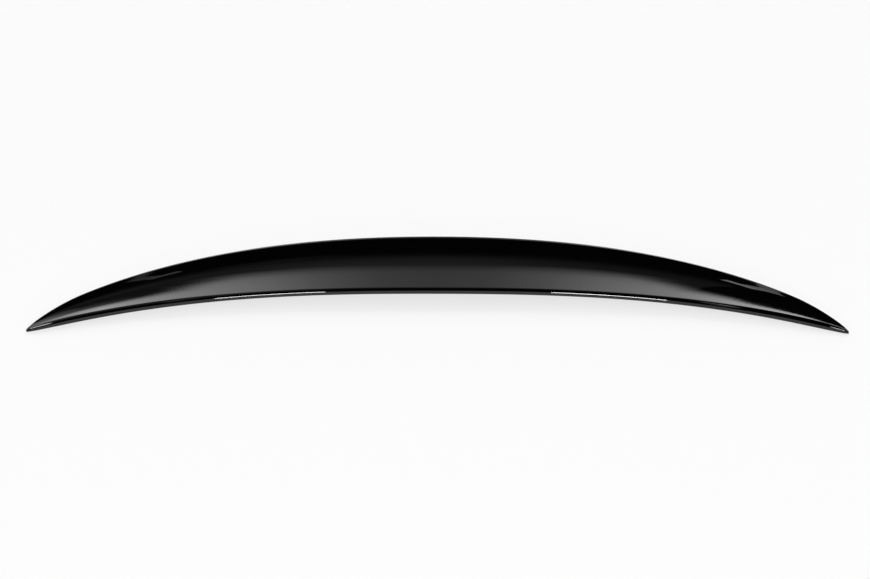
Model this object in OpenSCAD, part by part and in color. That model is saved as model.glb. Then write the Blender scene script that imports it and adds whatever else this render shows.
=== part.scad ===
// Lip spoiler for a car's boot lid, moulded in one piece: a swept blade with a rounded nose,
// a hollow upper face, a rolled trailing lip and a skirt that laps the lid's rear edge.
// Millimetres. X runs across the car, -Y points to its front and +Z up. The skirt's foot lies
// in Z = 0, each tip ends just over it, and the origin is under the middle of the part.

/* [Plan and arch] */
// Overall width across the car
span = 1200; // [1000:10:1320]
// How far the front edge sweeps forward towards the tips
front_bow = 73.5; // [40:0.5:100]
// How quickly that sweep sets in towards the tips
bow_power = 2.81; // [2.3:0.01:3.6]
// Rise of the front edge from tip to middle
crown = 16; // [10:0.5:24]
// Depth of the blade at the middle, front to rear
chord = 95; // [82:1:120]
// How full the blade stays towards the tips, lower is fuller
taper_power = 0.67; // [0.6:0.005:0.8]
// Length over which each tip rounds off
tip_len = 76; // [30:1:90]
// Height of each tip's very end over the skirt's foot
tip_rise = 1; // [0.5:0.1:3]
// How the tips round off, lower is blunter
tip_power = 0.6; // [0.5:0.05:1]

/* [Section] */
// Height of the nose at the front edge
nose_h = 9.5; // [8:0.5:12]
// Radius of the nose's shoulder, where it runs into the upper face
shoulder_r = 9; // [6:0.5:12]
// Slope at which the shoulder goes over into the nose's front, degrees
shoulder_slope = 35; // [25:1:45]
// Radius of the nose under the shoulder
nose_r = 3.5; // [3:0.5:6]
// Radius of the nose's lower edge
foot_r = 1; // [0.5:0.1:2]
// Slope of the upper face behind the nose, degrees
entry_slope = 6; // [3:1:10]
// Height of the lip over the front edge, at the middle
lip_h = 36; // [28:1:44]
// Slope of the upper face where the lip's roll begins, degrees
lip_slope = 38; // [34:1:44]
// Radius of the lip's roll at the middle
lip_r = 5; // [4:0.5:7]
// Angle by which the roll turns under the lip, degrees
lip_under = 20; // [10:1:26]
// How far the skirt's foot stands in front of the lip, at the middle
rear_lean = 11; // [8:0.5:15]

/* [Underside] */
// Thickness of the skirt at its foot
skirt_t = 3.5; // [2.5:0.5:4.5]
// How far the skirt laps over the lid's rear edge, at the middle
skirt_lap = 8; // [5:0.5:9]
// Wall over the hollow
wall = 3; // [2:0.5:4]
// Width of the front land that sits on the lid
front_land = 16; // [14:0.5:18]
// Width of the rear land that sits on the lid
rear_land = 14; // [13:0.5:16]
// Solid width of the lip behind the hollow
lip_solid = 8; // [7:0.5:10]
// Distance from each tip to the hollow's end
hollow_end = 120; // [105:1:180]
// Draft of the hollow's front wall, from its mouth to its roof
hollow_draft = 1.5; // [0.5:0.5:2.5]

/* [Ribs] */
// Distance between two ribs
rib_pitch = 80; // [60:1:95]
// Thickness of a rib at its foot
rib_foot = 2; // [1.5:0.1:2.5]
// Thickness of a rib at its root, level with the lip
rib_root = 3; // [2.5:0.1:3.5]
// Distance from the ribs' feet to the lid
rib_setback = 2; // [1:0.5:3]

/* [Tape recesses] */
// Width of the recesses for adhesive tape
tape_w = 12; // [8:0.5:12]
// Depth of the recesses
tape_depth = 1; // [0.5:0.1:1.5]
// Distance from each tip to the end of the recess in the front land
front_tape_end = 70; // [60:1:150]
// Distance from each tip to the end of the recess in the rear land
rear_tape_end = 130; // [105:1:220]

/* [Hidden] */
// Stations from the middle to a tip, and steps along the parts of a section
half_stations = 24;
foot_steps = 2;
nose_steps = 4;
shoulder_steps = 4;
blade_steps = 13;
roll_steps = 11;
rear_steps = 6;
tip_turns = [12, 24, 36, 47, 57, 66, 74, 80, 85, 88, 89.5];
// How far a cut runs past the face that it opens through
cut_past = 2;
tip_x = span / 2 - tip_len;
hollow_half = span / 2 - hollow_end;
rib_count = floor(2 * hollow_half / rib_pitch);

// Front edge, as its place along Y and Z at a distance x from the middle
function along(x) = 2 * x / span;
function front_y(x) = -front_bow * pow(abs(along(x)), bow_power);
function fade(x) = 1 - pow(along(x), 2);
function front_z(x) = crown * fade(x);
// The blade behind the nose keeps its form and shrinks towards the tips
function blade_scale(x) = pow(fade(x), taper_power);

// Middle section, measured from the foot of the nose
nose_drop = (shoulder_r - nose_r) * [-sin(shoulder_slope), cos(shoulder_slope)];
shoulder_centre = [nose_r - nose_drop[0], nose_h - shoulder_r * cos(entry_slope)];
nose_centre = shoulder_centre + nose_drop;
nose_end = shoulder_centre + shoulder_r * [-sin(entry_slope), cos(entry_slope)];
roll_centre = [chord - lip_r, lip_h - lip_r];
roll_start = roll_centre + lip_r * [-sin(lip_slope), cos(lip_slope)];
rise = roll_start - nose_end;
// Upper face as a straight start with a power curve on it, which ends at the lip's slope
lift = rise[1] - tan(entry_slope) * rise[0];
lift_power = (tan(lip_slope) - tan(entry_slope)) * rise[0] / lift;
function face_point(t) = [rise[0] * t, tan(entry_slope) * rise[0] * t + lift * pow(t, lift_power)];
function face_slope(t) = tan(entry_slope) + lift * lift_power * pow(t, lift_power - 1) / rise[0];
function arc(centre, r, from, to, steps) =
    [for (i = [0:steps]) let (a = from + (to - from) * i / steps) centre + r * [cos(a), sin(a)]];
function bezier(a, b, c, steps) =
    [for (i = [1:steps]) let (t = i / steps) (1 - t) * (1 - t) * a + 2 * t * (1 - t) * b + t * t * c];

// The section at x, as [y, z] pairs from the foot of the nose, over the lip, to the lid
function foot(x) = [front_y(x), front_z(x)];
function on_blade(x, p) = foot(x) + nose_end + blade_scale(x) * (p - nose_end);
function lip_y(x) = on_blade(x, [chord, lip_h])[0];
function skirt_y(x) = lip_y(x) - rear_lean * blade_scale(x);
function inner_y(x) = skirt_y(x) - skirt_t;
function lap(x) = skirt_lap * fade(x);
// Height of the lid under the part at y, falling from the nose to the skirt
function lid_z(x, y) =
    let (start = front_y(x) + foot_r, share = (y - start) / (inner_y(x) - start))
    front_z(x) + (lap(x) - front_z(x)) * share;
function foot_points(x) = [for (p = arc([foot_r, foot_r], foot_r, 270, 180, foot_steps)) foot(x) + p];
function nose_points(x) =
    [for (p = arc(nose_centre, nose_r, 180, 90 + shoulder_slope, nose_steps)) foot(x) + p];
function shoulder_point(i) =
    let (a = 90 + shoulder_slope + (entry_slope - shoulder_slope) * i / shoulder_steps)
    shoulder_centre + shoulder_r * [cos(a), sin(a)];
function shoulder_points(x) = [for (i = [1:shoulder_steps]) foot(x) + shoulder_point(i)];
function face_points(x) =
    [for (i = [1:blade_steps - 1]) on_blade(x, nose_end + face_point(i / blade_steps))];
function roll_points(x) =
    [for (p = arc(roll_centre, lip_r, 90 + lip_slope, -lip_under, roll_steps)) on_blade(x, p)];
function rear_points(x, top) =
    bezier(top, [top[0] - tan(lip_under) * top[1] / 2, top[1] / 2], [skirt_y(x), 0], rear_steps);
function section(x) =
    let (roll = roll_points(x))
    concat(foot_points(x), nose_points(x), shoulder_points(x), face_points(x), roll, rear_points(x, roll[roll_steps]),
        [[inner_y(x), 0], [inner_y(x), lap(x)]]);
// Beyond tip_x the section shrinks by a quarter turn onto a point inside the nose
function tip_section(a) =
    let (x = tip_x + tip_len * sin(a), c = foot(x) + [nose_end[0], tip_rise])
    [for (p = section(x)) c + pow(cos(a), tip_power) * (p - c)];
function tip_y(a) = min([for (p = tip_section(a)) p[0]]);
// The tips lie furthest to the front and the lip's middle furthest to the rear
y_shift = -(chord + min([for (a = tip_turns) tip_y(a)])) / 2;

// A solid through a row of sections that all have as many points
function at_x(x, points) = [for (p = points) [x, p[0] + y_shift, p[1]]];
function skin_faces(m, n) = [
    for (i = [0:m - 2], j = [0:n - 1], half = [0, 1])
        let (a = i * n + j, b = i * n + (j + 1) % n)
        half == 0 ? [a, b, b + n] : [a, b + n, a + n]
];
module loft(rows) {
    m = len(rows);
    n = len(rows[0]);
    ends = [[for (j = [n - 1:-1:0]) j], [for (j = [0:n - 1]) (m - 1) * n + j]];
    polyhedron(points = [for (row = rows, p = row) p], faces = concat(ends, skin_faces(m, n)), convexity = 8);
}
function stations(half) = [for (i = [-half_stations:half_stations]) half * sin(90 * i / half_stations)];
function even_stations(half) = [for (i = [-half_stations:half_stations]) half * i / half_stations];

module outer_form() {
    last = len(tip_turns) - 1;
    left_tip = [for (i = [last:-1:0]) at_x(-tip_x - tip_len * sin(tip_turns[i]), tip_section(tip_turns[i]))];
    right_tip = [for (a = tip_turns) at_x(tip_x + tip_len * sin(a), tip_section(a))];
    body = [for (x = stations(tip_x)) at_x(x, section(x))];
    loft(concat(left_tip, body, right_tip));
}

// The hollow under the upper face. Its roof lies one wall under that face.
function face_at(x, y) = (y - foot(x)[0] - nose_end[0]) / (rise[0] * blade_scale(x));
function roof_point(x, t) =
    let (slope = face_slope(t), n = [-slope, 1] / sqrt(1 + slope * slope))
    on_blade(x, nose_end + face_point(t)) - wall * n;
function run_down(top, mouth) = mouth + (mouth - top) * cut_past / (top[1] - mouth[1]);
function hollow_section(x) =
    let (mouth_front = [front_y(x) + front_land, lid_z(x, front_y(x) + front_land)])
    let (mouth_rear = [inner_y(x) - rear_land, lid_z(x, inner_y(x) - rear_land)])
    let (t0 = face_at(x, mouth_front[0] + hollow_draft), t1 = face_at(x, lip_y(x) - lip_solid))
    let (roof = [for (i = [0:blade_steps]) roof_point(x, t0 + (t1 - t0) * i / blade_steps)])
    concat([run_down(roof[0], mouth_front)], roof, [run_down(roof[blade_steps], mouth_rear)]);

// A cross rib, thicker at its root than at its foot
module rib(x) {
    front = front_y(x) + y_shift;
    rear = lip_y(x) + y_shift;
    foot_front = lid_z(x, front_y(x)) + rib_setback;
    foot_rear = lid_z(x, lip_y(x)) + rib_setback;
    root = front_z(x) + lip_h;
    thin = 0.01;
    hull() {
        translate([x - rib_foot / 2, front, foot_front])
            cube([rib_foot, thin, thin]);
        translate([x - rib_foot / 2, rear, foot_rear])
            cube([rib_foot, thin, thin]);
        translate([x - rib_root / 2, front, root])
            cube([rib_root, rear - front, thin]);
    }
}
module ribs() {
    for (i = [0:rib_count - 1])
        rib((i - (rib_count - 1) / 2) * rib_pitch);
}
module hollow() {
    difference() {
        loft([for (x = even_stations(hollow_half)) at_x(x, hollow_section(x))]);
        ribs();
    }
}

// A shallow recess along a land, from its front edge at y
function recess_section(x, y) =
    let (far = y + tape_w)
    [[y, lid_z(x, y) - cut_past], [y, lid_z(x, y) + tape_depth],
        [far, lid_z(x, far) + tape_depth], [far, lid_z(x, far) - cut_past]];
module front_recess() {
    edge = (front_land - tape_w) / 2;
    loft([for (x = even_stations(span / 2 - front_tape_end)) at_x(x, recess_section(x, front_y(x) + edge))]);
}
module rear_recess() {
    edge = (rear_land - tape_w) / 2;
    loft([for (x = even_stations(span / 2 - rear_tape_end)) at_x(x, recess_section(x, inner_y(x) - edge - tape_w))]);
}

module spoiler_blade() {
    color("#0b0b0c")
        difference() {
            outer_form();
            hollow();
            front_recess();
            rear_recess();
        }
}

spoiler_blade();
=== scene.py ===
import math

import bmesh
import bpy
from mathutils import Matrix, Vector


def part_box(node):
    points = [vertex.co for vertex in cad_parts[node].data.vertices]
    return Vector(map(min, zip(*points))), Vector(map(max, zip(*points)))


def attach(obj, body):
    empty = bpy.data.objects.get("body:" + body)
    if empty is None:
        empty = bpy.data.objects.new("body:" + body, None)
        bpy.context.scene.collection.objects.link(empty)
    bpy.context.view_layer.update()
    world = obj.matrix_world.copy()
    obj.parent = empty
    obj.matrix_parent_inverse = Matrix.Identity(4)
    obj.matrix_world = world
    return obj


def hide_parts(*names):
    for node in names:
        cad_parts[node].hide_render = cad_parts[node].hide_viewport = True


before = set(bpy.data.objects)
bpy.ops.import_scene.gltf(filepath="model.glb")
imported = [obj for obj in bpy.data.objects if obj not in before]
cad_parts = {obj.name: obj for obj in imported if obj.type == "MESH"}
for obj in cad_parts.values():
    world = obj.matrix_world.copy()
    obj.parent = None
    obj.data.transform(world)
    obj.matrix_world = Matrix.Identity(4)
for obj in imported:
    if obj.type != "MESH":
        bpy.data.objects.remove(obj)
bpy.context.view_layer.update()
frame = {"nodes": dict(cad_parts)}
scene = bpy.context.scene
scene.view_settings.view_transform = "Standard"
print("frame loaded:", ", ".join(frame["nodes"]))


# helpers for objects and node trees

def linkObject(name, data):
    obj = bpy.data.objects.new(name, data)
    scene.collection.objects.link(obj)
    return obj


def meshFrom(bm, name):
    mesh = bpy.data.meshes.new(name)
    for face in bm.faces:
        face.smooth = True
    bm.to_mesh(mesh)
    bm.free()
    return mesh


def addNode(tree, kind, inputs=None, **settings):
    node = tree.nodes.new(kind)
    for key, value in settings.items():
        setattr(node, key, value)
    for socket, value in (inputs or {}).items():
        target = node.inputs[socket]
        if isinstance(value, bpy.types.NodeSocket):
            tree.links.new(value, target)
        else:
            target.default_value = value
    return node


def mathNode(tree, operation, a, b=0.0, clamp=False):
    node = addNode(tree, "ShaderNodeMath", {0: a, 1: b}, operation=operation, use_clamp=clamp)
    return node.outputs[0]


def rangeNode(tree, value, start, end, low=0.0, high=1.0, easing="LINEAR"):
    # low up to the start and high past the end
    node = addNode(tree, "ShaderNodeMapRange", {"Value": value, "From Min": start, "From Max": end,
                                                "To Min": low, "To Max": high},
                   interpolation_type=easing)
    return node.outputs[0]


def greyRamp(tree, factor, stops):
    # stops are pairs of place and grey value, the first at 0 and the last at 1
    node = addNode(tree, "ShaderNodeValToRGB", {0: factor})
    elements = node.color_ramp.elements
    for element, (_, grey) in zip(elements, (stops[0], stops[-1])):
        element.color = (grey, grey, grey, 1)
    for place, grey in stops[1:-1]:
        elements.new(place).color = (grey, grey, grey, 1)
    return node.outputs[0]


def bareTree(owner):
    # the emptied node tree of a material or the world
    owner.use_nodes = True
    owner.node_tree.nodes.clear()
    return owner.node_tree


# camera, at the photo's angle and distance

photoCamera = dict(
    lens=85,  # mm
    sensor=36,  # mm wide
    elevation=40,  # degrees over the horizon
    distance=3.0863,
    aim=(-0.0037, 0.0285, -0.0097),
    roll=0.13,  # degrees, the photo leans a little
)


def makeCamera(cs):
    data = bpy.data.cameras.new("photoCamera")
    data.lens, data.sensor_width = cs["lens"], cs["sensor"]
    camera = linkObject("photoCamera", data)
    up = math.radians(cs["elevation"])
    back = Vector((0, -math.cos(up), math.sin(up)))
    camera.location = Vector(cs["aim"]) + back * cs["distance"]
    camera.rotation_euler = (math.radians(90 - cs["elevation"]), 0, 0)
    camera.rotation_euler.rotate_axis("Z", math.radians(cs["roll"]))
    scene.camera = camera


makeCamera(photoCamera)
print("camera set")


# floor, room and lamps

studio = dict(
    floorSize=40,
    floorGrey=0.88,
    floorWhite=0.72,  # share of plain white in the floor as it is seen
    # The room's brightness goes by two angles in degrees: the one to the side, and the turn from the
    # rear horizon up and over to the camera's side.
    wallSides=[(-50, 1.2), (-35, 2.4), (-22, 3.0), (-17, 4.5), (-14, 5.3), (-12, 5.5), (-11.3, 5.9),
               (-10.7, 6.9), (-10, 5.0), (-8, 3.5), (-6, 2.4), (-4, 1.33), (-2, 0.80), (0, 0.70),
               (2, 0.80), (4, 1.33), (6, 2.4), (8, 3.5), (9, 4.6), (10, 6.4), (12, 9.5), (14, 10),
               (17, 8.0), (22, 3.5), (35, 2.4), (50, 1.2)],
    wallTurn=[(0, 0.4), (30, 0.7), (46, 1), (57, 1), (60, 0.97), (62.5, 0.82), (65.5, 0.62),
              (68.5, 0.40), (71, 0.20), (73.5, 0.08), (76, 0)],
    lowWall=[(0, 0.5), (20, 0.5), (40, 0)],  # over the turn, white low down behind and beside the part
    # dim stretch over the middle of the part
    dimTurn=[(60, 0.24), (72, 0.23), (78, 0.18), (82, 0.12), (85, 0.07), (88, 0.03), (91, 0.01),
             (94, 0)],
    dimSides=[(-12, 0.4), (-6, 0.35), (-4.8, 0.55), (-4, 1), (1, 1), (3, 0.75), (4.5, 0.6), (6, 0.4),
              (10, 0)],
    # black flags to both sides: the turn at which their edge begins, and its softness
    flagEdge=[(4.4, 78), (5, 70), (5.5, 65), (6, 61), (7, 56.5), (8, 52.5), (9.5, 52.3), (12, 52.3),
              (16, 51), (22, 50), (35, 48)],
    flagSoftness=[(-35, 3), (-12, 4.2), (-9, 5), (-8, 7.5), (-7, 8.5), (-6, 8.5), (-4.4, 12),
                  (4.4, 12), (6, 8.5), (7, 8.5), (8, 7.5), (9, 6), (9.5, 4), (10, 2.0), (12, 1.3),
                  (35, 2)],
    # soft lamp to the left: over the side, its border over the turn, and its upper end
    leftLamp=[(2, 0.2), (6, 0.35), (8, 0.45), (10, 0.65), (12, 0.95), (14, 1.6), (17, 1.9), (24, 1.9),
              (40, 1)],
    leftBorder=[(50, 8.3), (60, 7.8), (66, 7.1), (71, 6.0), (78, 4), (84, 1.8), (90, 1), (97, 3)],
    leftSoftness=2.5,
    leftTop=[(88, 1), (97, 0)],
    # large soft boxes far out to both sides
    farSides=[(28, 0), (35, 0.9), (64, 0.9), (75, 0.4)],
    farTurn=[(5, 0.4), (20, 1), (150, 1), (170, 0.3)],
    cameraSide=[(0, 0.30), (8, 0.25), (20, 0.05), (35, 0)],  # over the elevation
    # black board over the right tip, low corner and high corner
    board=((0.458, -0.25, 0.5), (0.9, 0.262, 0.5)),
    # black strip that follows the nose
    stripReach=0.56,  # to either side of the middle
    stripSteps=56,
    stripGap=0.015,  # between it and the nose
    stripLow=0.0086,  # its lower edge over the nose's foot
    stripTall=0.04,
)

# Each lamp has its place, size, turn about X, Y and Z in degrees, and brightness. The floor lamps
# only light the floor and what isn't glossy, the others are only mirrored in the paint.
floorLamps = ("fill", "lowFill")
widestSpread = 180  # degrees, for a lamp that states none
lamps = dict(
    frontLeft=dict(place=(-0.2395, -0.22, 0.031), size=(0.146, 0.034), turn=(90, 0, 0), bright=62),
    frontRight=dict(place=(0.246, -0.22, 0.031), size=(0.152, 0.034), turn=(90, 0, 0), bright=76),
    tipLeft=dict(place=(-0.615, -0.14, 0.20), size=(0.09, 0.05), turn=(0, 0, 0), bright=18),
    tipRight=dict(place=(0.612, -0.178, 0.178), size=(0.075, 0.05), turn=(20, 0, 0), bright=30),
    slitLeft=dict(place=(-0.4065, -0.083, 0.40), size=(0.021, 0.066), turn=(0, 0, 0), bright=0.5),
    slitRight=dict(place=(0.443, -0.092, 0.40), size=(0.027, 0.066), turn=(0, 0, 0), bright=2.0),
    rearLeft=dict(place=(-0.395, -0.038, 0.40), size=(0.042, 0.024), turn=(0, 0, 0), bright=0.75),
    rearRight=dict(place=(0.434, -0.045, 0.40), size=(0.044, 0.028), turn=(0, 0, 0), bright=2.9),
    hookLeft=dict(place=(-0.389, -0.135, 0.40), size=(0.018, 0.044), turn=(0, 0, 38), bright=0.38),
    hookRight=dict(place=(0.423, -0.150, 0.40), size=(0.022, 0.066), turn=(0, 0, -32), bright=1.4),
    fill=dict(place=(0, -2.4, 4.2), size=(3.0, 1.6), turn=(29.7, 0, 0), bright=1.0),
    lowFill=dict(place=(0, -4, 1.4), size=(4.0, 1.2), turn=(70.7, 0, 0), bright=1.25, spread=100),
)


def makeFloor(st):
    bm = bmesh.new()
    bmesh.ops.create_grid(bm, x_segments=1, y_segments=1, size=st["floorSize"] / 2)
    floor = linkObject("floor", meshFrom(bm, "floor"))
    mat = bpy.data.materials.new("paleFloor")
    tree = bareTree(mat)
    grey = st["floorGrey"]
    cloth = addNode(tree, "ShaderNodeBsdfDiffuse", {"Color": (grey, grey, grey, 1)})
    white = addNode(tree, "ShaderNodeEmission", {"Color": (1, 1, 1, 1), "Strength": 1.0})
    rays = addNode(tree, "ShaderNodeLightPath").outputs
    mirrored = mathNode(tree, "MAXIMUM", rays["Is Glossy Ray"], rays["Is Transmission Ray"])
    seen = mathNode(tree, "MAXIMUM", rays["Is Camera Ray"], mirrored)
    share = mathNode(tree, "MULTIPLY", seen, st["floorWhite"])
    paint = addNode(tree, "ShaderNodeMixShader", {0: share, 1: cloth.outputs[0], 2: white.outputs[0]})
    clear = addNode(tree, "ShaderNodeBsdfTransparent")
    back = addNode(tree, "ShaderNodeNewGeometry").outputs["Backfacing"]  # open from below
    both = addNode(tree, "ShaderNodeMixShader", {0: back, 1: paint.outputs[0], 2: clear.outputs[0]})
    addNode(tree, "ShaderNodeOutputMaterial", {"Surface": both.outputs[0]})
    floor.data.materials.append(mat)


def angleRamp(tree, angle, stops):
    # value over an angle in degrees
    low, high = stops[0][0], stops[-1][0]
    peak = max(value for _, value in stops)
    share = rangeNode(tree, angle, float(low), float(high))
    shares = [((place - low) / (high - low), value / peak) for place, value in stops]
    return mathNode(tree, "MULTIPLY", greyRamp(tree, share, shares), float(peak))


def makeRoom(st):
    world = bpy.data.worlds.new("studioRoom")
    scene.world = world
    tree = bareTree(world)
    ray = addNode(tree, "ShaderNodeTexCoord").outputs["Generated"]
    axes = addNode(tree, "ShaderNodeSeparateXYZ", {0: ray}).outputs
    degree = math.pi / 180
    toSide = mathNode(tree, "DIVIDE", mathNode(tree, "ARCSINE", axes[0]), degree)
    side = mathNode(tree, "ABSOLUTE", toSide)
    turn = mathNode(tree, "DIVIDE", mathNode(tree, "ARCTAN2", axes[2], axes[1]), degree)

    def times(a, b):
        return mathNode(tree, "MULTIPLY", a, b)

    def over(angle, name):
        return angleRamp(tree, angle, st[name])

    wall = times(over(toSide, "wallSides"), over(turn, "wallTurn"))
    depth = mathNode(tree, "SUBTRACT", turn, over(side, "flagEdge"))
    shade = mathNode(tree, "DIVIDE", depth, over(toSide, "flagSoftness"), clamp=True)
    total = times(wall, rangeNode(tree, shade, 1.0, 0.0, easing="SMOOTHSTEP"))
    past = mathNode(tree, "ADD", toSide, over(turn, "leftBorder"))
    inside = rangeNode(tree, past, 0.0, -st["leftSoftness"], easing="SMOOTHSTEP")
    left = times(times(inside, over(side, "leftLamp")), over(turn, "leftTop"))
    dim = times(over(toSide, "dimSides"), over(turn, "dimTurn"))
    low = over(turn, "lowWall")
    far = times(over(side, "farSides"), over(turn, "farTurn"))
    elevation = mathNode(tree, "SUBTRACT", 180.0, turn)
    pastZenith = mathNode(tree, "GREATER_THAN", turn, 90.0)
    front = times(over(elevation, "cameraSide"), pastZenith)
    for light in (left, dim, low, far, front):
        total = mathNode(tree, "MAXIMUM", total, light)

    # the camera itself sees plain white past the floor
    seen = addNode(tree, "ShaderNodeLightPath").outputs["Is Camera Ray"]
    strength = addNode(tree, "ShaderNodeMix", {0: seen, 2: total, 3: 1.0}, data_type="FLOAT")
    lit = addNode(tree, "ShaderNodeBackground", {"Color": (1, 1, 1, 1),
                                                 "Strength": strength.outputs[0]})
    addNode(tree, "ShaderNodeOutputWorld", {"Surface": lit.outputs[0]})


def blackSheet(name, bm):
    # only mirrored, it casts no shade on the floor
    board = linkObject(name, meshFrom(bm, name))
    mat = bpy.data.materials.new(name)
    tree = bareTree(mat)
    cloth = addNode(tree, "ShaderNodeBsdfDiffuse", {"Color": (0, 0, 0, 1)})
    addNode(tree, "ShaderNodeOutputMaterial", {"Surface": cloth.outputs[0]})
    board.data.materials.append(mat)
    board.visible_camera = board.visible_diffuse = board.visible_shadow = False


def makeBoard(st):
    low, high = (Vector(corner) for corner in st["board"])
    bm = bmesh.new()
    bmesh.ops.create_grid(bm, x_segments=1, y_segments=1, size=0.5)
    for vert in bm.verts:
        vert.co = (low + high) / 2 + vert.co * (high - low)
    blackSheet("blackBoard", bm)


def makeLamps(ls):
    for name, lamp in ls.items():
        wide, tall = lamp["size"]
        data = bpy.data.lights.new(name, "AREA")
        data.shape, data.size, data.size_y = "RECTANGLE", wide, tall
        data.energy = lamp["bright"] * math.pi * wide * tall
        obj = linkObject(name, data)
        obj.location = lamp["place"]
        obj.rotation_euler = [math.radians(angle) for angle in lamp["turn"]]
        data.spread = math.radians(lamp.get("spread", widestSpread))
        obj.visible_camera = False
        obj.visible_diffuse = name in floorLamps
        obj.visible_glossy = not obj.visible_diffuse


makeFloor(studio)
makeRoom(studio)
makeBoard(studio)
makeLamps(lamps)
print("studio set")


# materials

def makeGroup(name, ins, outs):
    group = bpy.data.node_groups.new(name, "ShaderNodeTree")
    for socket, kind, value in ins:
        made = group.interface.new_socket(socket, in_out="INPUT", socket_type=kind)
        made.default_value = value
    for socket, kind in outs:
        group.interface.new_socket(socket, in_out="OUTPUT", socket_type=kind)
    given = group.nodes.new("NodeGroupInput").outputs
    return group, given, group.nodes.new("NodeGroupOutput").inputs


def fineRelief():
    # small ups and downs of a surface, as a normal and as a mask
    ins = [("Grain", "NodeSocketFloat", 300.0), ("Height", "NodeSocketFloat", 0.00001),
           ("Detail", "NodeSocketFloat", 2.0)]
    outs = [("Normal", "NodeSocketVector"), ("Mask", "NodeSocketFloat")]
    group, given, result = makeGroup("fineRelief", ins, outs)
    place = addNode(group, "ShaderNodeTexCoord").outputs["Object"]
    noise = addNode(group, "ShaderNodeTexNoise", {"Vector": place, "Scale": given["Grain"],
                                                  "Detail": given["Detail"], "Roughness": 0.5})
    bump = addNode(group, "ShaderNodeBump", {"Strength": 1.0, "Distance": given["Height"],
                                             "Height": noise.outputs[0]})
    group.links.new(bump.outputs[0], result["Normal"])
    group.links.new(noise.outputs[0], result["Mask"])
    return group


wiping = dict(
    stretch=(1, 9, 9),  # streaks run along X
    streakDetail=5.0,
    streakRoughness=0.6,
    streakFrom=0.35,
    streakTo=0.75,
    speckEdge=(0.08, 0.04),  # cell distances at which a speck begins and is full
    speckShare=(0.86, 0.9),  # only cells over this have a speck
)


def wipeMarks(ws):
    # faint long streaks and specks that change the gloss
    ins = [("Low", "NodeSocketFloat", 0.03), ("High", "NodeSocketFloat", 0.08),
           ("Length", "NodeSocketFloat", 12.0), ("Specks", "NodeSocketFloat", 900.0)]
    outs = [("Roughness", "NodeSocketFloat"), ("Dust", "NodeSocketFloat")]
    group, given, result = makeGroup("wipeMarks", ins, outs)
    place = addNode(group, "ShaderNodeTexCoord").outputs["Object"]
    drawn = addNode(group, "ShaderNodeMapping", {"Vector": place, "Scale": ws["stretch"]})
    streaks = addNode(group, "ShaderNodeTexNoise", {"Vector": drawn.outputs[0], "Scale": given["Length"],
                                                    "Detail": ws["streakDetail"],
                                                    "Roughness": ws["streakRoughness"]})
    level = rangeNode(group, streaks.outputs[0], ws["streakFrom"], ws["streakTo"], given["Low"],
                      given["High"])
    cells = addNode(group, "ShaderNodeTexVoronoi", {"Vector": place, "Scale": given["Specks"],
                                                    "Randomness": 1.0})
    dots = rangeNode(group, cells.outputs["Distance"], *ws["speckEdge"])
    rare = rangeNode(group, cells.outputs["Color"], *ws["speckShare"])
    group.links.new(level, result["Roughness"])
    group.links.new(mathNode(group, "MULTIPLY", dots, rare), result["Dust"])
    return group


def newMaterial(name):
    mat = bpy.data.materials.new(name)
    mat.use_nodes = True
    return mat, mat.node_tree, mat.node_tree.nodes["Principled BSDF"]


def groupNode(tree, group, values):
    node = tree.nodes.new("ShaderNodeGroup")
    node.node_tree = group
    for socket, value in values.items():
        node.inputs[socket].default_value = value
    return node


def linkLooks(tree, shader, mask, colours, roughness, normal):
    # two colours mixed by the mask, with a roughness and a normal
    first, second = ((*colour, 1) for colour in colours)
    mixed = addNode(tree, "ShaderNodeMix", {0: mask, 6: first, 7: second}, data_type="RGBA")
    tree.links.new(mixed.outputs[2], shader.inputs["Base Color"])
    tree.links.new(roughness, shader.inputs["Roughness"])
    tree.links.new(normal, shader.inputs["Normal"])


paint = dict(
    colour=(0.001, 0.001, 0.0011),
    dustColour=(0.03, 0.03, 0.029),
    peelGrain=260.0,  # per metre, so a peel cell is about 4 mm wide
    peelHeight=0.000008,
    peelDetail=1.0,
    smoothest=0.025,
    hazy=0.07,
    lacquerIor=1.5,
)

moulding = dict(
    dark=(0.010, 0.010, 0.0105),
    light=(0.017, 0.017, 0.018),
    grain=2600.0,
    grainHeight=0.00005,
    grainDetail=3.0,
    flowGrain=14.0,
    flowDetail=4.0,
    streakLength=5.0,
    dullest=0.62,
    shiniest=0.44,
)


def makePaint(ps, relief, wipes):
    mat, tree, shader = newMaterial("glossBlackPaint")
    peel = groupNode(tree, relief, {"Grain": ps["peelGrain"], "Height": ps["peelHeight"],
                                    "Detail": ps["peelDetail"]})
    marks = groupNode(tree, wipes, {"Low": ps["smoothest"], "High": ps["hazy"]})
    linkLooks(tree, shader, marks.outputs["Dust"], (ps["colour"], ps["dustColour"]),
              marks.outputs["Roughness"], peel.outputs["Normal"])
    shader.inputs["IOR"].default_value = ps["lacquerIor"]
    return mat


def makeMoulding(ms, relief, wipes):
    mat, tree, shader = newMaterial("bareMoulding")
    grain = groupNode(tree, relief, {"Grain": ms["grain"], "Height": ms["grainHeight"],
                                     "Detail": ms["grainDetail"]})
    flow = groupNode(tree, relief, {"Grain": ms["flowGrain"], "Height": 0.0,
                                    "Detail": ms["flowDetail"]})
    marks = groupNode(tree, wipes, {"Low": ms["shiniest"], "High": ms["dullest"],
                                    "Length": ms["streakLength"]})
    linkLooks(tree, shader, flow.outputs["Mask"], (ms["dark"], ms["light"]),
              marks.outputs["Roughness"], grain.outputs["Normal"])
    return mat


relief = fineRelief()
wipes = wipeMarks(wiping)
paintMat = makePaint(paint, relief, wipes)
mouldingMat = makeMoulding(moulding, relief, wipes)
print("materials made")


# the blade: a sheet rolled round its sections, then hollowed from below

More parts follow.
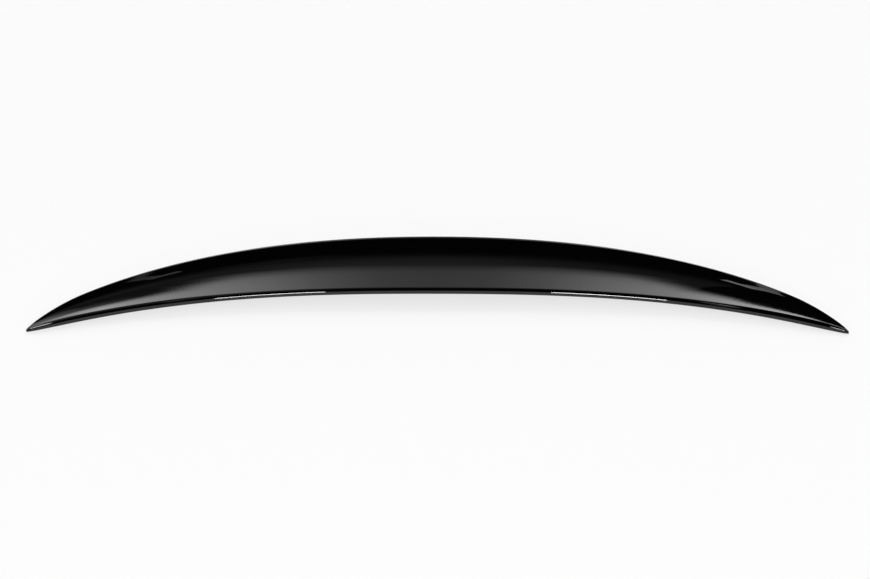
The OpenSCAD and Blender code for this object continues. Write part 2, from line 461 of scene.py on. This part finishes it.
blade = dict(
    span=1.2,
    frontBow=0.0735,
    bowPower=2.81,
    crown=0.016,
    chord=0.095,
    taperPower=0.67,
    tipLength=0.076,
    tipRise=0.001,
    tipPower=0.6,  # lower is blunter
    noseHeight=0.0095,
    shoulderRadius=0.009,
    shoulderSlope=35,
    noseRadius=0.0035,
    footRadius=0.001,
    entrySlope=6,
    lipHeight=0.036,
    lipSlope=38,
    lipRadius=0.005,
    lipUnder=20,
    rearLean=0.011,
    skirtThickness=0.0035,
    skirtLap=0.008,
    skirtEdge=0.0006,
    bodySteps=196,  # along the span between the tips
    tipSteps=30,  # along each tip
    footSteps=5,
    noseSteps=12,
    shoulderSteps=8,
    faceSteps=40,
    rollSteps=24,
    rearSteps=14,
    edgeSteps=4,
    lidSteps=12,
    mergeDistance=1e-6,
    sharpAngle=32,  # edges over this stay sharp in the shading
)

hollow = dict(
    wall=0.003,
    frontLand=0.016,
    rearLand=0.014,
    lipSolid=0.008,
    fromTip=0.120,
    draft=0.0015,
    cut=0.002,  # how far the cutters run out through the lid side
    rebate=0.0004,  # step at the mouth of the hollow
    fillet=0.0012,
    filletAngle=30,  # edges over this are rounded
    filletSteps=3,
    pocketSteps=(10, 12, 5),  # along X, across and up, as for the other cutters
    mouthSteps=(160, 6, 1),
    recessSteps=(160, 2, 1),
    ribPitch=0.080,
    ribFoot=0.002,
    ribRoot=0.003,
    ribSetback=0.002,
    tapeWidth=0.012,
    tapeDepth=0.001,
    frontTapeFromTip=0.070,
    rearTapeFromTip=0.130,
)

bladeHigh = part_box("spoiler_blade")[1]
rearShift = bladeHigh[1] - blade["chord"]  # the lip's middle is the rearmost point
tipStart = blade["span"] / 2 - blade["tipLength"]
hollowReach = blade["span"] / 2 - hollow["fromTip"]
tiny = 1e-6  # for comparing lengths


def sinDeg(a):
    return math.sin(math.radians(a))


def cosDeg(a):
    return math.cos(math.radians(a))


def tanDeg(a):
    return math.tan(math.radians(a))


def arc(centre, radius, start, end, steps):
    return [centre + radius * Vector((cosDeg(a), sinDeg(a)))
            for a in (start + (end - start) * i / steps for i in range(steps + 1))]


def fade(x):
    return max(1 - (2 * x / blade["span"]) ** 2, 0)


def frontY(x):
    return -blade["frontBow"] * abs(2 * x / blade["span"]) ** blade["bowPower"]


def frontZ(x):
    return blade["crown"] * fade(x)


def bladeScale(x):
    return fade(x) ** blade["taperPower"]


def upright(slope):
    # direction that stands square on a slope
    return Vector((-sinDeg(slope), cosDeg(slope)))


noseDrop = (blade["shoulderRadius"] - blade["noseRadius"]) * upright(blade["shoulderSlope"])
shoulderCentre = Vector((blade["noseRadius"] - noseDrop[0],
                         blade["noseHeight"] - blade["shoulderRadius"] * cosDeg(blade["entrySlope"])))
noseCentre = shoulderCentre + noseDrop
noseEnd = shoulderCentre + blade["shoulderRadius"] * upright(blade["entrySlope"])
rollCentre = Vector((blade["chord"], blade["lipHeight"])) - Vector((1, 1)) * blade["lipRadius"]
rollStart = rollCentre + blade["lipRadius"] * upright(blade["lipSlope"])
run, climb = rollStart - noseEnd
lift = climb - tanDeg(blade["entrySlope"]) * run
liftPower = (tanDeg(blade["lipSlope"]) - tanDeg(blade["entrySlope"])) * run / lift


def facePoint(t):
    return Vector((run * t, tanDeg(blade["entrySlope"]) * run * t + lift * t ** liftPower))


def faceSlope(t):
    return tanDeg(blade["entrySlope"]) + lift * liftPower * t ** (liftPower - 1) / run


def onBlade(x, p):
    return Vector((frontY(x), frontZ(x))) + noseEnd + bladeScale(x) * (p - noseEnd)


def lipY(x):
    return onBlade(x, Vector((blade["chord"], blade["lipHeight"])))[0]


def skirtY(x):
    return lipY(x) - blade["rearLean"] * bladeScale(x)


def innerY(x):
    return skirtY(x) - blade["skirtThickness"]


def lidZ(x, y):
    start = frontY(x) + blade["footRadius"]
    share = (y - start) / (innerY(x) - start)
    return frontZ(x) + (blade["skirtLap"] * fade(x) - frontZ(x)) * share


def sectionAt(x):
    # painted points from the nose's foot over the lip to the skirt's foot, then the hidden ones
    bs = blade
    foot = Vector((frontY(x), frontZ(x)))
    low = Vector((bs["footRadius"],) * 2)
    painted = [foot + p for p in arc(low, bs["footRadius"], 270, 180, bs["footSteps"])]
    meet = 90 + bs["shoulderSlope"]
    painted += [foot + p for p in arc(noseCentre, bs["noseRadius"], 180, meet, bs["noseSteps"])]
    shoulder = arc(shoulderCentre, bs["shoulderRadius"], meet, 90 + bs["entrySlope"],
                   bs["shoulderSteps"])
    painted += [foot + p for p in shoulder[1:]]
    for i in range(1, bs["faceSteps"]):
        painted.append(onBlade(x, noseEnd + facePoint(i / bs["faceSteps"])))
    turn = arc(rollCentre, bs["lipRadius"], 90 + bs["lipSlope"], -bs["lipUnder"], bs["rollSteps"])
    painted += [onBlade(x, p) for p in turn]
    top = painted[-1]
    bend = Vector((top[0] - tanDeg(bs["lipUnder"]) * top[1] / 2, top[1] / 2))
    end = Vector((skirtY(x), 0))
    reach = 1 - bs["skirtEdge"] / top[1]  # the rear face stops where the foot's edge begins
    for i in range(1, bs["rearSteps"]):
        t = reach * i / bs["rearSteps"]
        painted.append((1 - t) ** 2 * top + 2 * t * (1 - t) * bend + t ** 2 * end)
    edge = bs["skirtEdge"]
    painted += arc(Vector((skirtY(x) - edge, edge)), edge, 0, -90, bs["edgeSteps"])
    hidden = arc(Vector((innerY(x) + edge, edge)), edge, -90, -180, bs["edgeSteps"])
    for i in range(bs["lidSteps"] + 1):
        y = innerY(x) + (frontY(x) + bs["footRadius"] - innerY(x)) * i / bs["lidSteps"]
        hidden.append(Vector((y, lidZ(x, y))))
    return painted, hidden


def ringAt(step):
    # step runs from -1 at one tip to 1 at the other
    bodyShare = blade["bodySteps"] / (blade["bodySteps"] + 2 * blade["tipSteps"])
    far = abs(step)
    turn = max(far - bodyShare, 0) / (1 - bodyShare) * 90
    x = math.copysign(tipStart * min(far / bodyShare, 1) + blade["tipLength"] * sinDeg(turn), step)
    painted, hidden = sectionAt(x)
    heart = Vector((frontY(x) + noseEnd[0], frontZ(x) + blade["tipRise"]))
    shrink = max(cosDeg(turn), 0) ** blade["tipPower"]
    return len(painted), [Vector((x, *(heart + shrink * (p - heart)))) for p in painted + hidden]


def makeSkin(bs):
    total = bs["bodySteps"] + 2 * bs["tipSteps"]
    rings = [ringAt(2 * i / total - 1) for i in range(total + 1)]
    paintedCount, around = rings[0][0], len(rings[0][1])
    bm = bmesh.new()
    bmesh.ops.create_grid(bm, x_segments=total, y_segments=around - 1, size=0.5)
    for face in bm.faces:
        row = (face.calc_center_median().y + 0.5) * (around - 1)
        face.material_index = 0 if row < paintedCount - 1 else 1
    for vert in bm.verts:
        i, j = round((vert.co.x + 0.5) * total), round((vert.co.y + 0.5) * (around - 1))
        vert.co = rings[i][1][j] + Vector((0, rearShift, 0))
    bmesh.ops.remove_doubles(bm, verts=bm.verts, dist=bs["mergeDistance"])
    bmesh.ops.recalc_face_normals(bm, faces=bm.faces)
    return meshFrom(bm, "spoilerBlade")


def shapedBlock(counts, place, fillet=0.0):
    # a block cut into steps along X, across and up, with each corner moved to its place
    bm = bmesh.new()
    bmesh.ops.create_cube(bm, size=1)
    for axis, count in enumerate(counts):
        along = [e for e in bm.edges if abs((e.verts[0].co - e.verts[1].co)[axis]) > tiny]
        if count > 1:
            bmesh.ops.subdivide_edges(bm, edges=along, cuts=count - 1, use_grid_fill=True)
    for vert in bm.verts:
        vert.co = place(*(vert.co + Vector((0.5, 0.5, 0.5)))) + Vector((0, rearShift, 0))
    bmesh.ops.recalc_face_normals(bm, faces=bm.faces)
    if fillet:
        limit = math.radians(hollow["filletAngle"])
        sharp = [e for e in bm.edges if e.calc_face_angle(0) > limit]
        bmesh.ops.bevel(bm, geom=sharp, offset=fillet, offset_type="OFFSET",
                        segments=hollow["filletSteps"], profile=0.5, affect="EDGES", material=-1,
                        clamp_overlap=True)
    for face in bm.faces:
        face.material_index = 1
    return bm


def hollowPoint(x, across, up, wider=0.0):
    # across runs from the front land to the rear one, up from the mouth at 0 to the roof at 1
    hs = hollow
    front = frontY(x) + hs["frontLand"]
    rear = innerY(x) - hs["rearLand"]
    scale = run * bladeScale(x)
    t0 = (front + hs["draft"] - frontY(x) - noseEnd[0]) / scale
    t1 = (lipY(x) - hs["lipSolid"] - frontY(x) - noseEnd[0]) / scale
    t = t0 + (t1 - t0) * across
    slope = faceSlope(t)
    under = Vector((-slope, 1)).normalized()
    roof = onBlade(x, noseEnd + facePoint(t)) - hs["wall"] * under
    mouthY = front - wider + (rear - front + 2 * wider) * across
    mouth = Vector((mouthY, lidZ(x, mouthY)))
    if up < 0:
        up *= hs["cut"] / (roof - mouth)[1]
    return mouth + (roof - mouth) * up


def pocketCells(hs):
    # left and right ends of the pockets, with a rib between each two
    count = math.floor(2 * hollowReach / hs["ribPitch"])
    ribs = [(i - (count - 1) / 2) * hs["ribPitch"] for i in range(count)]
    return zip([-hollowReach] + ribs, ribs + [hollowReach])


def makePocket(hs, left, right):
    lowest = 1 / hs["pocketSteps"][2]  # this step runs out through the lid side

    def place(along, across, up):
        middle = left + (right - left) * along
        height = -1 if up < lowest / 2 else (up - lowest) / (1 - lowest)
        p = hollowPoint(middle, across, height)
        rise = (p[1] - lidZ(middle, p[0])) / blade["lipHeight"]
        half = (hs["ribFoot"] + (hs["ribRoot"] - hs["ribFoot"]) * max(rise, 0)) / 2
        a = left + (half if abs(left) < hollowReach - tiny else 0)
        b = right - (half if abs(right) < hollowReach - tiny else 0)
        x = a + (b - a) * along
        p = hollowPoint(x, across, height)
        return Vector((x, p[0], p[1]))

    return shapedBlock(hs["pocketSteps"], place, hs["fillet"])


def makeMouth(hs):
    reach = hollowReach + hs["rebate"]

    def place(along, across, up):
        x = reach * (2 * along - 1)
        p = hollowPoint(x, across, -1 if up < 0.5 else 0, hs["rebate"])
        if up >= 0.5:
            p = Vector((p[0], lidZ(x, p[0]) + hs["ribSetback"]))
        return Vector((x, p[0], p[1]))

    return shapedBlock(hs["mouthSteps"], place)


def makeRecess(hs, fromTip, edgeAt):
    reach = blade["span"] / 2 - fromTip

    def place(along, across, up):
        x = reach * (2 * along - 1)
        y = edgeAt(x) + hs["tapeWidth"] * across
        return Vector((x, y, lidZ(x, y) + (hs["tapeDepth"] if up > 0.5 else -hs["cut"])))

    return shapedBlock(hs["recessSteps"], place)


def joined(blocks, name):
    whole = bmesh.new()
    for bm in blocks:
        part = meshFrom(bm, name)
        whole.from_mesh(part)
        bpy.data.meshes.remove(part)
    return linkObject(name, meshFrom(whole, name))


def cutFrom(obj, cutter):
    modifier = obj.modifiers.new(cutter.name, "BOOLEAN")
    modifier.operation, modifier.object, modifier.solver = "DIFFERENCE", cutter, "MANIFOLD"
    seen = obj.evaluated_get(bpy.context.evaluated_depsgraph_get())
    mesh = bpy.data.meshes.new_from_object(seen)
    obj.modifiers.clear()
    old, obj.data = obj.data, mesh
    bpy.data.meshes.remove(old)
    bpy.data.objects.remove(cutter)


def makeBlade(bs, hs):
    obj = linkObject("spoilerBlade", makeSkin(bs))
    for mat in (paintMat, mouldingMat):
        obj.data.materials.append(mat)
    print("skin rolled,", len(obj.data.polygons), "faces")
    pockets = [makePocket(hs, left, right) for left, right in pocketCells(hs)]
    frontEdge = (hs["frontLand"] - hs["tapeWidth"]) / 2
    rearEdge = (hs["rearLand"] + hs["tapeWidth"]) / 2
    cutFrom(obj, joined(pockets, "pockets"))
    cutFrom(obj, joined([makeMouth(hs)], "mouth"))
    tapes = [makeRecess(hs, hs["frontTapeFromTip"], lambda x: frontY(x) + frontEdge),
             makeRecess(hs, hs["rearTapeFromTip"], lambda x: innerY(x) - rearEdge)]
    cutFrom(obj, joined(tapes, "tapes"))
    obj.data.set_sharp_from_angle(angle=math.radians(bs["sharpAngle"]))
    print("blade hollowed,", len(obj.data.polygons), "faces")
    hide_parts("spoiler_blade")
    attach(obj, "root")


makeBlade(blade, hollow)


def makeStrip(st):
    # a low black strip in front of the nose keeps the front lamps out of the upper face
    bm = bmesh.new()
    ends = []
    for i in range(st["stripSteps"] + 1):
        x = st["stripReach"] * (2 * i / st["stripSteps"] - 1)
        low = Vector((x, frontY(x) + rearShift - st["stripGap"], frontZ(x) + st["stripLow"]))
        ends.append([bm.verts.new(low), bm.verts.new(low + Vector((0, 0, st["stripTall"])))])
    for (a, b), (c, d) in zip(ends, ends[1:]):
        bm.faces.new((a, c, d, b))
    blackSheet("blackStrip", bm)


makeStrip(studio)
